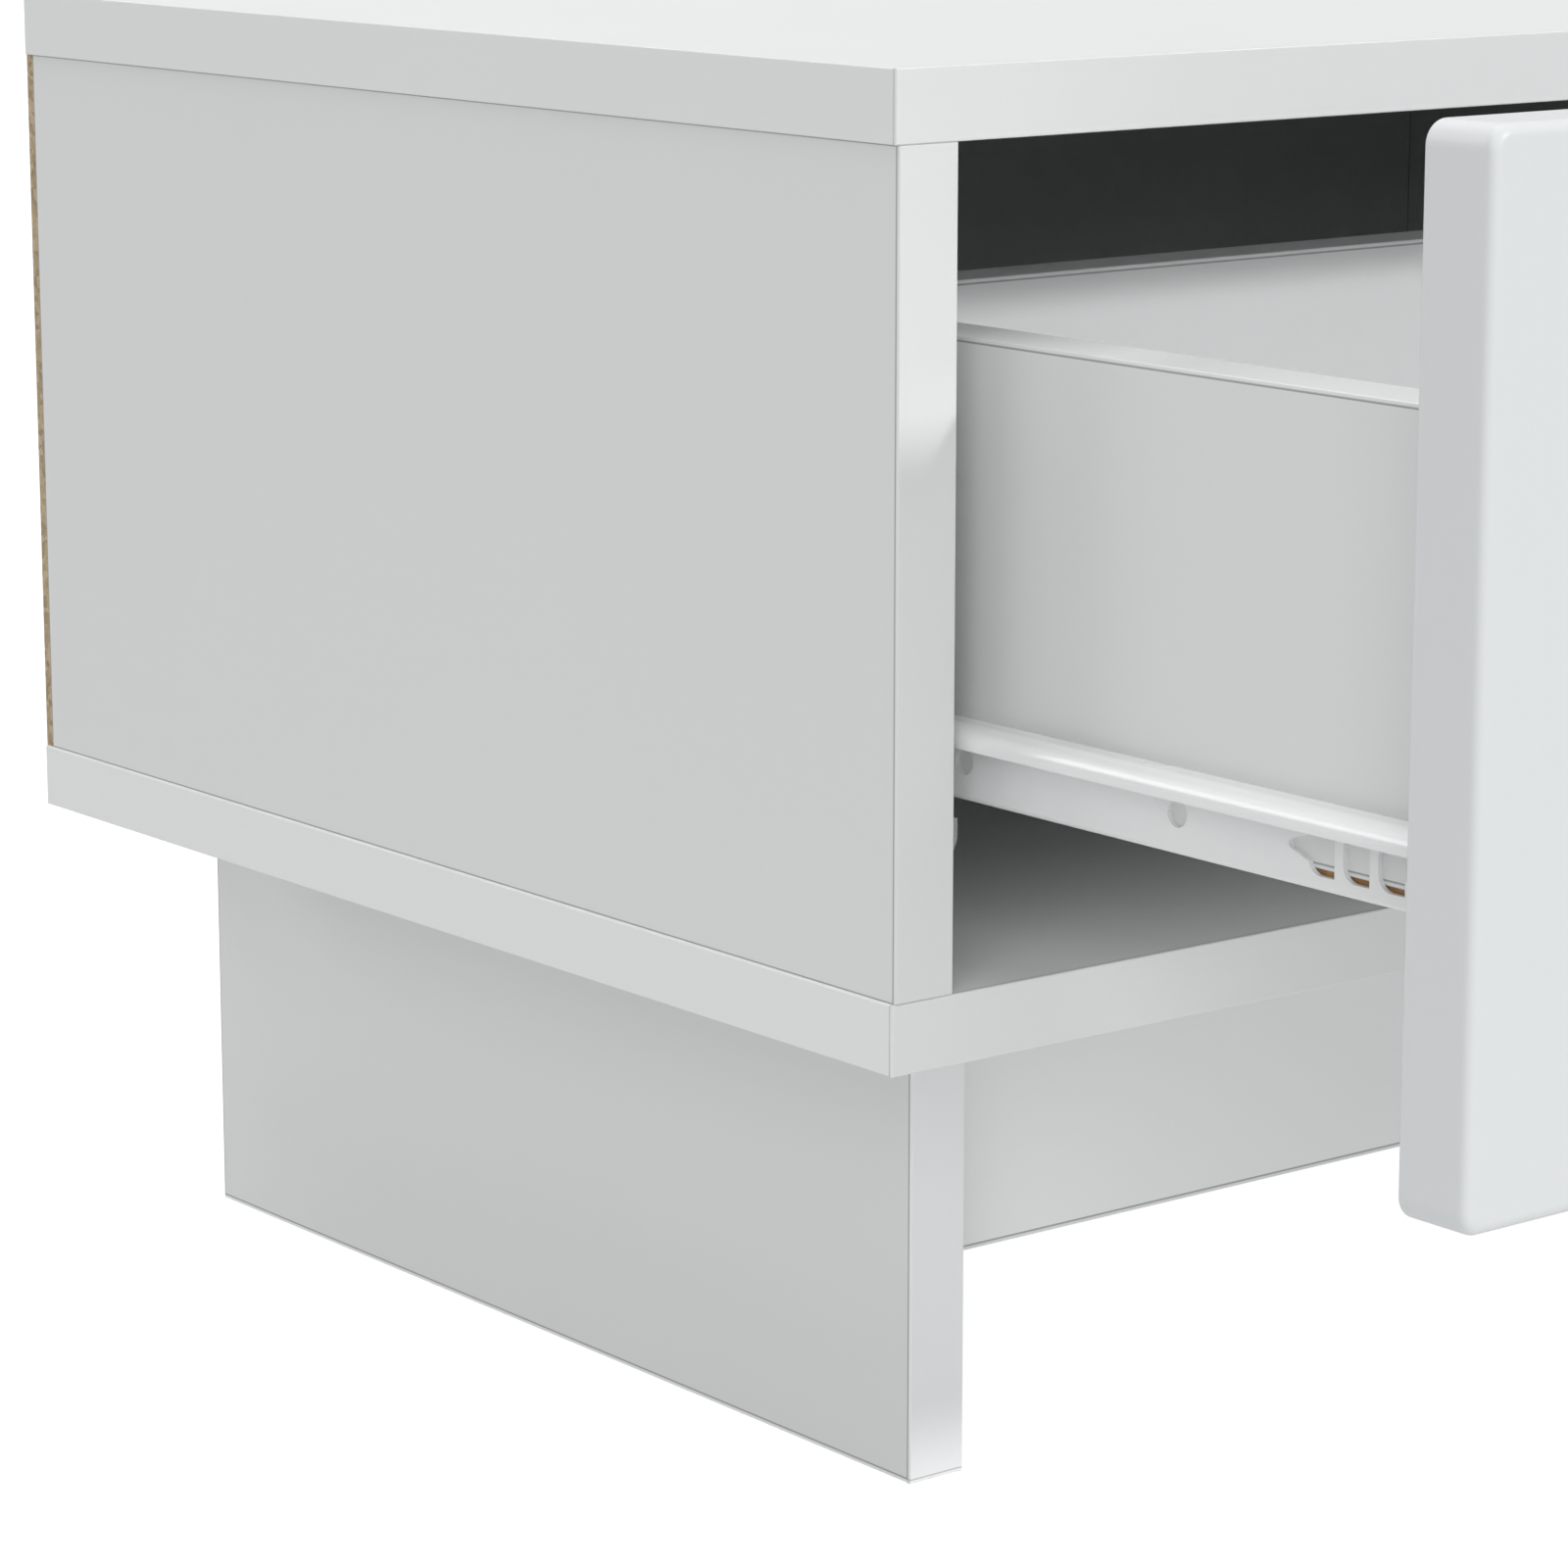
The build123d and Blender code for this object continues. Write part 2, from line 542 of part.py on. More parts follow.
# ---- Drawer front ----
with BuildPart() as drawer_front:
    with BuildSketch(Plane.XZ.offset(-BOX_Y)):
        with Locations((0, FRONT_TOP - FRONT_HEIGHT / 2)):
            RectangleRounded(BODY_WIDTH, FRONT_HEIGHT, FRONT_CORNER)
    extrude(amount=FRONT_THICK)
    fillet(drawer_front.faces().sort_by(Axis.Y)[0].edges(), FRONT_ARRIS)
    fillet(drawer_front.faces().sort_by(Axis.Y)[-1].edges(), FRONT_BACK_ARRIS)
    groove_x = BOX_OUT - BOX_SHEET_TRIM + SHEET_FIT
    groove_y = (BOX_Y - GROOVE_DEPTH - GROOVE_SPARE, BOX_Y)
    groove_z = (BOX_SHEET_Z - SHEET_FIT / 2, BOX_BOTTOM + SHEET_FIT / 2)
    block((-groove_x, groove_x), groove_y, groove_z, Mode.SUBTRACT)
    add(drawer_front_cam_bolts.part, mode=Mode.SUBTRACT)
    add(drawer_front_dowels.part, mode=Mode.SUBTRACT)


# ---- Drawer box ----
def drawer_side(side):
    """A drawer side's core, between its top and bottom strips."""
    with BuildPart() as piece:
        z = (BOX_BOTTOM + EDGING, BOX_TOP - EDGING)
        block(across(side, BOX_IN, BOX_OUT), (BOX_Y, BOX_REAR_Y), z)
        add(drawer_front_housings.part, mode=Mode.SUBTRACT)
        add(drawer_front_dowels.part, mode=Mode.SUBTRACT)
        add(drawer_back_screw_bores.part, mode=Mode.SUBTRACT)
        add(drawer_back_dowels.part, mode=Mode.SUBTRACT)
        add(drawer_runner_bores.part, mode=Mode.SUBTRACT)
    return piece


drawer_left_side = drawer_side(-1)
drawer_right_side = drawer_side(1)

with BuildPart() as drawer_side_edging:
    for side in (-1, 1):
        x = across(side, BOX_IN, BOX_OUT)
        add(strip(x, (BOX_Y, BOX_REAR_Y), (BOX_TOP - EDGING, BOX_TOP), UPWARD))
        add(strip(x, (BOX_Y, BOX_REAR_Y), (BOX_BOTTOM, BOX_BOTTOM + EDGING), DOWNWARD))
    add(drawer_runner_bores.part, mode=Mode.SUBTRACT)

with BuildPart() as drawer_back:
    back_y = (BOX_REAR_Y - BOARD, BOX_REAR_Y)
    block((-BOX_IN, BOX_IN), back_y, (BOX_BOTTOM, BOX_TOP - EDGING))
    add(drawer_back_screw_bores.part, mode=Mode.SUBTRACT)
    add(drawer_back_dowels.part, mode=Mode.SUBTRACT)
    add(drawer_bottom_nails.part, mode=Mode.SUBTRACT)

with BuildPart() as drawer_back_edging:
    add(strip((-BOX_IN, BOX_IN), back_y, (BOX_TOP - EDGING, BOX_TOP), UPWARD))

with BuildPart() as drawer_bottom:
    sheet_x = BOX_OUT - BOX_SHEET_TRIM
    block((-sheet_x, sheet_x), (BOX_Y - GROOVE_DEPTH, BOX_REAR_Y), (BOX_SHEET_Z, BOX_BOTTOM))
    add(drawer_bottom_nails.part, mode=Mode.SUBTRACT)
    add(drawer_runner_bores.part, mode=Mode.SUBTRACT)


# ---- Rollers and pins, left side ----
def left(inset):
    """The X of a place at a given distance from the left body side's inner face."""
    return -SIDE_IN + inset


def disc(inset, y, z, radius, thickness):
    """Adds a disc to the part being built, its axis along X, from inset towards the middle."""
    with BuildSketch(Plane.YZ.offset(left(inset))) as face:
        with Locations((y, z)):
            Circle(radius)
    extrude(face.sketch, amount=thickness)


def roller(inset, y, z):
    """A nylon roller with rounded edges, running on a pin."""
    with BuildPart() as wheel:
        disc(inset, y, z, ROLLER_RADIUS, ROLLER_WIDTH)
        fillet(wheel.edges().filter_by(GeomType.CIRCLE), ROLLER_ROUND)
        with BuildSketch(Plane.YZ.offset(left(inset))):
            with Locations((y, z)):
                Circle(PIN_RADIUS + PIN_FIT)
        extrude(amount=ROLLER_WIDTH, mode=Mode.SUBTRACT)
    return wheel


left_front_roller = roller(FRONT_ROLLER_INSET, FRONT_ROLLER_Y, FRONT_ROLLER_Z)
left_rear_roller = roller(REAR_ROLLER_INSET, REAR_ROLLER_Y, REAR_ROLLER_Z)
right_front_roller = other_side(left_front_roller)
right_rear_roller = other_side(left_rear_roller)

with BuildPart() as left_front_pin:
    roller_end = FRONT_ROLLER_INSET + ROLLER_WIDTH + PIN_PLAY
    collar = FRONT_ROLLER_INSET - PIN_PLAY - STEEL
    disc(0, FRONT_ROLLER_Y, FRONT_ROLLER_Z, PIN_RADIUS, roller_end)
    disc(STEEL, FRONT_ROLLER_Y, FRONT_ROLLER_Z, PIN_COLLAR_RADIUS, collar)
    disc(roller_end, FRONT_ROLLER_Y, FRONT_ROLLER_Z, PIN_HEAD_RADIUS, PIN_HEAD)

with BuildPart() as left_rear_pin:
    roller_end = REAR_ROLLER_INSET + ROLLER_WIDTH + PIN_PLAY
    head = REAR_ROLLER_INSET - PIN_PLAY - PIN_HEAD
    collar = RUNNER_GAP - STEEL - roller_end
    disc(head, REAR_ROLLER_Y, REAR_ROLLER_Z, PIN_HEAD_RADIUS, PIN_HEAD)
    disc(head, REAR_ROLLER_Y, REAR_ROLLER_Z, PIN_RADIUS, RUNNER_GAP - head)
    disc(roller_end, REAR_ROLLER_Y, REAR_ROLLER_Z, PIN_COLLAR_RADIUS, collar)

front_roller_pins = both_sides(left_front_pin)
rear_roller_pins = both_sides(left_rear_pin)


# ---- Runners, left side ----
def folded(corners, bends, y):
    """Steel sheet folded along a line of (inset, height) corners, and run back from a given Y."""
    with BuildSketch(Plane.XZ.offset(-y)) as section:
        with BuildLine():
            FilletPolyline(*[(left(inset), z) for inset, z in corners], radius=bends)
        trace(line_width=STEEL)
    extrude(section.sketch, amount=-RUNNER_LENGTH)


HALF = STEEL / 2
BEND = RUNNER_BEND + HALF
TRACK_OUT = RUNNER_GAP - TRACK_MARGIN

with BuildPart() as left_cabinet_runner:
    runner_top = CABINET_RUNNER_Z + CABINET_RUNNER_HEIGHT
    lip = TRACK_OUT - HALF
    fold_line = [(lip, CABINET_RUNNER_Z + TRACK_LIP), (lip, CABINET_RUNNER_Z + HALF)]
    fold_line += [(HALF, CABINET_RUNNER_Z + HALF), (HALF, runner_top - HALF)]
    fold_line += [(HOOD_FLANGE, runner_top - HALF)]
    folded(fold_line, BEND, CABINET_RUNNER_Y)
    # The hood stops short of the front roller, and an ear carries the roller's pin.
    hood_y = (CABINET_RUNNER_Y, CABINET_RUNNER_Y + HOOD_START)
    hood_z = (runner_top - BEND - HALF, runner_top)
    block((left(STEEL), left(HOOD_FLANGE)), hood_y, hood_z, Mode.SUBTRACT)
    disc(0, FRONT_ROLLER_Y, FRONT_ROLLER_Z, PIN_EAR_RADIUS, STEEL)
    # The track's front end is cut back at 45 degrees.
    with BuildSketch(Plane.XY.offset(CABINET_RUNNER_Z)):
        with BuildLine():
            reach = TRACK_OUT - STEEL
            Polyline(
                (left(STEEL), CABINET_RUNNER_Y),
                (left(TRACK_OUT), CABINET_RUNNER_Y),
                (left(TRACK_OUT), CABINET_RUNNER_Y + reach),
                close=True,
            )
        make_face()
    extrude(amount=TRACK_LIP, mode=Mode.SUBTRACT)
    # Stops for the rear roller: a tab where the drawer is shut, a pressed bump where it is open.
    stop_x = (left(HALF), left(TRACK_OUT - HALF))
    shut_y = REAR_ROLLER_Y + TRAVEL_SHUT + ROLLER_RADIUS + STOP_GAP
    stop_z = (CABINET_RUNNER_Z + HALF, CABINET_RUNNER_Z + STEEL + STOP_HEIGHT)
    block(stop_x, (shut_y, shut_y + STEEL), stop_z)
    open_y = REAR_ROLLER_Y - TRAVEL_OPEN - ROLLER_RADIUS - STOP_GAP
    bump_z = (CABINET_RUNNER_Z + HALF, CABINET_RUNNER_Z + STEEL + BUMP_HEIGHT)
    block(stop_x, (open_y - BUMP_LENGTH, open_y), bump_z)
    add(cabinet_runner_bores.part, mode=Mode.SUBTRACT)
    add(left_front_pin.part, mode=Mode.SUBTRACT)

with BuildPart() as left_drawer_runner:
    web = RUNNER_GAP - HALF
    bead = BEAD_MARGIN + HALF
    fold_line = [(RUNNER_GAP + DRAWER_RUNNER_FOOT, DRAWER_RUNNER_Z + HALF)]
    fold_line += [(web, DRAWER_RUNNER_Z + HALF), (web, BEAD_TOP_Z - HALF)]
    fold_line += [(bead, BEAD_TOP_Z - HALF), (bead, BEAD_TOP_Z - BEAD_DROP)]
    folded(fold_line, [FOOT_BEND + HALF, BEAD_INNER_ROUND, BEAD_ROUND], DRAWER_RUNNER_Y)
    # The foot is cut away round the ear that carries the rear roller's pin.
    foot_x = (left(RUNNER_GAP), left(RUNNER_GAP + DRAWER_RUNNER_FOOT))
    foot_y = (DRAWER_RUNNER_END_Y - 2 * REAR_ROLLER_END, DRAWER_RUNNER_END_Y)
    block(foot_x, foot_y, (DRAWER_RUNNER_Z, DRAWER_RUNNER_Z + STEEL), Mode.SUBTRACT)
    disc(RUNNER_GAP - STEEL, REAR_ROLLER_Y, REAR_ROLLER_Z, PIN_EAR_RADIUS, STEEL)
    # Spare fixing holes, and the windows near the front, the last of them with a pointed end.
    sill = DRAWER_RUNNER_Z + WINDOW_SILL
    with BuildSketch(Plane.YZ.offset(left(RUNNER_GAP - STEEL))):
        for hole in SIDE_HOLES:
            with Locations((DRAWER_RUNNER_Y + hole, DRAWER_RUNNER_Z + SIDE_HOLE_RISE)):
                Circle(SIDE_HOLE_RADIUS)
        for index in range(WINDOW_COUNT):
            front = DRAWER_RUNNER_Y + WINDOW_START + WINDOW_PITCH * index
            with BuildLine():
                FilletPolyline(
                    (front, sill + WINDOW_HEIGHT),
                    (front + WINDOW_WIDTH, sill + WINDOW_HEIGHT),
                    (front + WINDOW_WIDTH, sill),
                    (front, sill),
                    radius=WINDOW_ROUND,
                )
                Line((front, sill), (front, sill + WINDOW_HEIGHT))
            make_face()
        middle = sill + WINDOW_HEIGHT / 2
        tail = front + WINDOW_WIDTH - WINDOW_ROUND
        with BuildLine():
            FilletPolyline(
                (tail, middle + WINDOW_TAIL_HALF),
                (front + WINDOW_WIDTH + WINDOW_TAIL, middle),
                (tail, middle - WINDOW_TAIL_HALF),
                radius=WINDOW_TAIL_ROUND,
            )
            Line((tail, middle - WINDOW_TAIL_HALF), (tail, middle + WINDOW_TAIL_HALF))
        make_face()
    extrude(amount=STEEL, mode=Mode.SUBTRACT)
    add(drawer_runner_bores.part, mode=Mode.SUBTRACT)
    add(left_rear_pin.part, mode=Mode.SUBTRACT)

right_cabinet_runner = other_side(left_cabinet_runner)
right_drawer_runner = other_side(left_drawer_runner)

# ---- Write every piece ----
save(top_panel, "top_panel")
save(bottom_panel, "bottom_panel")
save(top_panel_edging, "top_panel_edging")
save(bottom_panel_edging, "bottom_panel_edging")
save(left_side_panel, "left_side_panel")
save(right_side_panel, "right_side_panel")
save(side_panel_edging, "side_panel_edging")
save(back_panel, "back_panel")
save(back_panel_nails, "back_panel_nails")
save(left_leg_panel, "left_leg_panel")
save(right_leg_panel, "right_leg_panel")
save(leg_panel_edging, "leg_panel_edging")
save(kick_rail, "kick_rail")
save(kick_rail_edging, "kick_rail_edging")
save(case_cams, "case_cams")
save(case_cam_bolts, "case_cam_bolts")
save(case_dowels, "case_dowels")
save(leg_cams, "leg_cams")
save(leg_cam_bolts, "leg_cam_bolts")
save(leg_dowels, "leg_dowels")
save(kick_rail_cams, "kick_rail_cams")
save(kick_rail_cam_bolts, "kick_rail_cam_bolts")
save(kick_rail_dowels, "kick_rail_dowels")
save(left_cabinet_runner, "left_cabinet_runner")
save(right_cabinet_runner, "right_cabinet_runner")
save(cabinet_runner_screws, "cabinet_runner_screws")
save(front_roller_pins, "front_roller_pins")
save(left_front_roller, "left_front_roller")
save(right_front_roller, "right_front_roller")
save(drawer_front, "drawer_front")
save(drawer_left_side, "drawer_left_side")
save(drawer_right_side, "drawer_right_side")
save(drawer_side_edging, "drawer_side_edging")
save(drawer_back, "drawer_back")
save(drawer_back_edging, "drawer_back_edging")
save(drawer_bottom, "drawer_bottom")
save(drawer_bottom_nails, "drawer_bottom_nails")
save(drawer_front_cams, "drawer_front_cams")
save(drawer_front_cam_bolts, "drawer_front_cam_bolts")
save(drawer_front_dowels, "drawer_front_dowels")
save(drawer_back_screws, "drawer_back_screws")
save(drawer_back_dowels, "drawer_back_dowels")
save(left_drawer_runner, "left_drawer_runner")
save(right_drawer_runner, "right_drawer_runner")
save(drawer_runner_screws, "drawer_runner_screws")
save(rear_roller_pins, "rear_roller_pins")
save(left_rear_roller, "left_rear_roller")
save(right_rear_roller, "right_rear_roller")
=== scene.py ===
# %% [markdown]
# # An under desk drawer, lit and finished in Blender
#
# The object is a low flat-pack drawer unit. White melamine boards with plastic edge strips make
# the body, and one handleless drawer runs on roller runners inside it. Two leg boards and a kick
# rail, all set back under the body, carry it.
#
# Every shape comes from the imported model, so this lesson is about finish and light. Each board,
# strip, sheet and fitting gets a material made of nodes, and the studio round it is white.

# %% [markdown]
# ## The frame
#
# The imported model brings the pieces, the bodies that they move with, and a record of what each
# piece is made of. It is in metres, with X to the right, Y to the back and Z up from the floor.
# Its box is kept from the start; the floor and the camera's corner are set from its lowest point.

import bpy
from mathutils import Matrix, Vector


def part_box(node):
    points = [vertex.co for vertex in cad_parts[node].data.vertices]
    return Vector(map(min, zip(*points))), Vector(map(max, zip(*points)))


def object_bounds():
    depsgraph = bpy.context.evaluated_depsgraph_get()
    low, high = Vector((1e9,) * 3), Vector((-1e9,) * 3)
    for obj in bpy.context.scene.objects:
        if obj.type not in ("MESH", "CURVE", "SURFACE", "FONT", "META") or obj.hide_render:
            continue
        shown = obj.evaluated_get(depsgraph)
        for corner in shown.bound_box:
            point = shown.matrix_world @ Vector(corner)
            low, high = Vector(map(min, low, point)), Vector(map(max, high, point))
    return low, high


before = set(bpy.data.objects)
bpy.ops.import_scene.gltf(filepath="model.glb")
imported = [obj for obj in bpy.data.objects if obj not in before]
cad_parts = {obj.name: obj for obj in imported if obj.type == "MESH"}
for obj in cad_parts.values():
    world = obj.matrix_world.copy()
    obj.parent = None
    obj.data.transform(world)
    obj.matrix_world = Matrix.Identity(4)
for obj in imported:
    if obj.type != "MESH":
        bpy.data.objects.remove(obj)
cad_low, cad_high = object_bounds()
print("box:", [round(a, 4) for a in cad_low], [round(a, 4) for a in cad_high])

# %% Modules used below
import math

import bmesh
import bpy
from mathutils import Vector

scene = bpy.context.scene
MM = 0.001

# %% [markdown]
# ## Small helpers for nodes
#
# A material is a tree of nodes. Making each node and its links takes three or four lines, so a
# few helpers keep the recipes short. A plug is either a link from another node's output or a
# plain value, and `plug` accepts both.

# %% Helpers that add and join nodes
def plug(tree, source, target):
    """Joins an output to an input, or writes a plain value into the input."""
    if isinstance(source, bpy.types.NodeSocket):
        tree.links.new(source, target)
    else:
        target.default_value = source


def add(tree, kind, inputs=None, **settings):
    """Adds a node, with its settings and what goes into its inputs."""
    node = tree.nodes.new("ShaderNode" + kind)
    for name, value in settings.items():
        setattr(node, name, value)
    for name, source in (inputs or {}).items():
        plug(tree, source, node.inputs[name])
    return node


# %% Helpers for sums, ramps and mixes
def reckon(tree, operation, *values):
    """One step of arithmetic on numbers."""
    node = add(tree, "Math", operation=operation)
    for socket, value in zip(node.inputs, values):
        plug(tree, value, socket)
    return node.outputs[0]


def vector_step(tree, operation, *values):
    """One step of arithmetic on vectors."""
    node = add(tree, "VectorMath", operation=operation)
    for socket, value in zip(node.inputs, values):
        plug(tree, value, socket)
    return node.outputs[0]


def spread(tree, value, low, high, to_low, to_high):
    """Stretches the range from low to high on to another, and stops at its ends."""
    ends = {"Value": value, "From Min": low, "From Max": high, "To Min": to_low, "To Max": to_high}
    return add(tree, "MapRange", ends).outputs[0]


def blend_colours(tree, share, first, second):
    """The first colour where share is 0, the second where it is 1."""
    node = tree.nodes.new("ShaderNodeMix")
    node.data_type = "RGBA"
    plug(tree, share, node.inputs["Factor"])
    plug(tree, first, node.inputs[6])
    plug(tree, second, node.inputs[7])
    return node.outputs[2]


# %% Helpers for node groups
def new_group(name, inputs, outputs):
    """An empty node group with named inputs (with their usual values) and named outputs."""
    group = bpy.data.node_groups.new(name, "ShaderNodeTree")
    for label, kind, value in inputs:
        socket = group.interface.new_socket(label, in_out="INPUT", socket_type="NodeSocket" + kind)
        socket.default_value = value
    for label, kind in outputs:
        group.interface.new_socket(label, in_out="OUTPUT", socket_type="NodeSocket" + kind)
    start = group.nodes.new("NodeGroupInput")
    end = group.nodes.new("NodeGroupOutput")
    return group, start.outputs, end.inputs


def use_group(tree, group, **inputs):
    """Places a node group in a material, with its own values."""
    node = tree.nodes.new("ShaderNodeGroup")
    node.node_tree = group
    for label, value in inputs.items():
        plug(tree, value, node.inputs[label.replace("_", " ")])
    return node.outputs


# %% [markdown]
# ## Which face is which
#
# A chipboard is finished on its two broad faces only. Its cut edges are raw unless a strip is
# glued on. The broad faces of a board look along one axis, so the direction that a face looks in
# tells laminate from raw core. A texture painted by hand would do too, but this needs no unwrap.
# A face counts as broad when it looks within about 45 degrees of the axis across the board.

# %% Group: broad faces
SAME_WAY = 0.7
broad_faces, given, result = new_group(
    "Broad faces",
    [("Across", "Vector", (0.0, 0.0, 1.0))],
    [("Broad", "Float"), ("Signed", "Float")],
)
place = add(broad_faces, "NewGeometry")
toward = add(broad_faces, "VectorMath", operation="DOT_PRODUCT")
plug(broad_faces, place.outputs["True Normal"], toward.inputs[0])
plug(broad_faces, given["Across"], toward.inputs[1])
one_way = toward.outputs["Value"]
either_way = reckon(broad_faces, "ABSOLUTE", one_way)
plug(broad_faces, reckon(broad_faces, "GREATER_THAN", either_way, SAME_WAY), result["Broad"])
plug(broad_faces, reckon(broad_faces, "GREATER_THAN", one_way, SAME_WAY), result["Signed"])
print("group:", broad_faces.name)

# %% [markdown]
# ## A skin with depth
#
# Melamine paper, plastic strip, foil and powder coat are all plain white, and what tells them
# apart is small: a stipple or a drawn line in the surface, slow clouds in the tone, and patches
# that are a little glossier. One group holds all three, with their sizes as inputs. The clouds
# take two thirds of the way from Colour to Shade, and the stipple takes the rest.

# %% Group: skin
CLOUD_PART = 0.65
STIPPLE_PART = 0.35
PATCH_SIZE = 28.0
skin, given, result = new_group(
    "Skin",
    [
        ("Colour", "Color", (0.8, 0.8, 0.8, 1.0)),
        ("Shade", "Color", (0.7, 0.7, 0.7, 1.0)),
        ("Stretch", "Vector", (1.0, 1.0, 1.0)),
        ("Stipple Size", "Float", 1500.0),
        ("Cloud Size", "Float", 5.0),
        ("Gloss Low", "Float", 0.35),
        ("Gloss High", "Float", 0.45),
    ],
    [("Colour", "Color"), ("Roughness", "Float"), ("Height", "Float")],
)
spot = add(skin, "TexCoord").outputs["Object"]
drawn = vector_step(skin, "MULTIPLY", spot, given["Stretch"])
stipple = add(skin, "TexNoise", {"Vector": drawn, "Scale": given["Stipple Size"], "Detail": 2.0})
clouds = add(skin, "TexNoise", {"Vector": spot, "Scale": given["Cloud Size"], "Detail": 3.0})
patches = add(skin, "TexNoise", {"Vector": spot, "Scale": PATCH_SIZE, "Detail": 1.0})
cloud_share = spread(skin, clouds.outputs["Fac"], 0.25, 0.75, 0.0, 1.0)
fine_share = spread(skin, stipple.outputs["Fac"], 0.3, 0.7, 0.0, STIPPLE_PART)
tone_share = reckon(skin, "ADD", reckon(skin, "MULTIPLY", cloud_share, CLOUD_PART), fine_share)
plug(skin, blend_colours(skin, tone_share, given["Colour"], given["Shade"]), result["Colour"])
gloss = add(skin, "MapRange", {"Value": patches.outputs["Fac"], "From Min": 0.2, "From Max": 0.8})
plug(skin, given["Gloss Low"], gloss.inputs["To Min"])
plug(skin, given["Gloss High"], gloss.inputs["To Max"])
plug(skin, gloss.outputs[0], result["Roughness"])
plug(skin, stipple.outputs["Fac"], result["Height"])
print("group:", skin.name)

# %% [markdown]
# ## The line at a joint
#
# Where a strip meets its board, or one board meets another, a line as thin as a hair shows: glue,
# the cut end of the paper, and a little shade in the groove. It runs along the board's outline, a
# part of a millimetre wide. The group measures how far a point is from the outline of a board's
# box. An axis that Across names, such as the one through the board's thickness, is pushed a metre
# off, so it never counts.

# %% Group: joint line
joint_line, given, result = new_group(
    "Joint line",
    [
        ("Low", "Vector", (0.0, 0.0, 0.0)),
        ("High", "Vector", (1.0, 1.0, 1.0)),
        ("Across", "Vector", (0.0, 0.0, 1.0)),
        ("Width", "Float", 0.0003),
    ],
    [("Line", "Float")],
)

# %% Measure the gap to the outline
spot = add(joint_line, "TexCoord").outputs["Object"]
from_low = vector_step(joint_line, "SUBTRACT", spot, given["Low"])
from_high = vector_step(joint_line, "SUBTRACT", given["High"], spot)
nearest = vector_step(joint_line, "MINIMUM", from_low, from_high)
pushed_off = vector_step(joint_line, "ADD", nearest, given["Across"])
kept = vector_step(joint_line, "ABSOLUTE", pushed_off)
apart = add(joint_line, "SeparateXYZ", {"Vector": kept}).outputs
gap = reckon(joint_line, "MINIMUM", reckon(joint_line, "MINIMUM", apart[0], apart[1]), apart[2])
half_width = reckon(joint_line, "MULTIPLY", given["Width"], 0.5)
plug(joint_line, spread(joint_line, gap, half_width, given["Width"], 1.0, 0.0), result["Line"])
print("group:", joint_line.name)

# %% [markdown]
# ## Raw chipboard
#
# The core is softwood chips and sawdust pressed with resin. Where a saw has cut it, the edge
# shows blunt chips of every tone from straw to dark bark, with small pits between them. Cells of
# a Voronoi texture are the chips, and a very fine noise is the sawdust between them.

# %% Group: chip core
CHIP_PART = 0.6
SAWDUST_PART = 0.4
chip_core, given, result = new_group(
    "Chip core",
    [
        ("Pale", "Color", (0.62, 0.47, 0.28, 1.0)),
        ("Dark", "Color", (0.30, 0.19, 0.09, 1.0)),
        ("Chip Size", "Float", 420.0),
    ],
    [("Colour", "Color"), ("Height", "Float")],
)
spot = add(chip_core, "TexCoord").outputs["Object"]
chips = add(chip_core, "TexVoronoi", {"Vector": spot, "Scale": given["Chip Size"]})
fine_grain = {"Vector": spot, "Scale": 2600.0, "Detail": 4.0, "Roughness": 0.7}
sawdust = add(chip_core, "TexNoise", fine_grain)
chip_tone = add(chip_core, "SeparateColor", {"Color": chips.outputs["Color"]}).outputs[0]
chip_share = reckon(chip_core, "MULTIPLY", chip_tone, CHIP_PART)
dust_share = spread(chip_core, sawdust.outputs["Fac"], 0.35, 0.7, 0.0, SAWDUST_PART)
dark_share = reckon(chip_core, "ADD", chip_share, dust_share)
plug(chip_core, blend_colours(chip_core, dark_share, given["Pale"], given["Dark"]), result["Colour"])
pits = reckon(chip_core, "MULTIPLY", chips.outputs["Distance"], sawdust.outputs["Fac"])
plug(chip_core, pits, result["Height"])
print("group:", chip_core.name)

# %% [markdown]
# ## Brown hardboard
#
# The back and the drawer bottom are hardboard: wood fibre pressed hot until it holds together
# without glue. It is an even brown felt of fine fibres, a little mottled. Two noises, one slow
# and one very fine, make it.

# %% Group: pressed fibre
pressed_fibre, given, result = new_group(
    "Pressed fibre",
    [
        ("Pale", "Color", (0.64, 0.52, 0.33, 1.0)),
        ("Dark", "Color", (0.30, 0.21, 0.12, 1.0)),
    ],
    [("Colour", "Color"), ("Height", "Float")],
)
spot = add(pressed_fibre, "TexCoord").outputs["Object"]
felt = {"Vector": spot, "Scale": 1900.0, "Detail": 5.0, "Roughness": 0.75}
fibre = add(pressed_fibre, "TexNoise", felt)
blotches = {"Vector": spot, "Scale": 230.0, "Detail": 5.0, "Roughness": 0.65}
mottle = add(pressed_fibre, "TexNoise", blotches)
fibre_share = spread(pressed_fibre, fibre.outputs["Fac"], 0.35, 0.65, 0.1, 0.45)
mottle_share = spread(pressed_fibre, mottle.outputs["Fac"], 0.3, 0.8, 0.0, 0.35)
dark_share = reckon(pressed_fibre, "ADD", fibre_share, mottle_share)
felt_colour = blend_colours(pressed_fibre, dark_share, given["Pale"], given["Dark"])
plug(pressed_fibre, felt_colour, result["Colour"])
plug(pressed_fibre, fibre.outputs["Fac"], result["Height"])
print("group:", pressed_fibre.name)

# %% [markdown]
# ## Starting a material
#
# Each finish ends in one Principled shader. What is the same all over a finish, such as its
# coat, is set on the shader itself. What changes over the surface comes in through Base Color,
# Roughness and Normal.

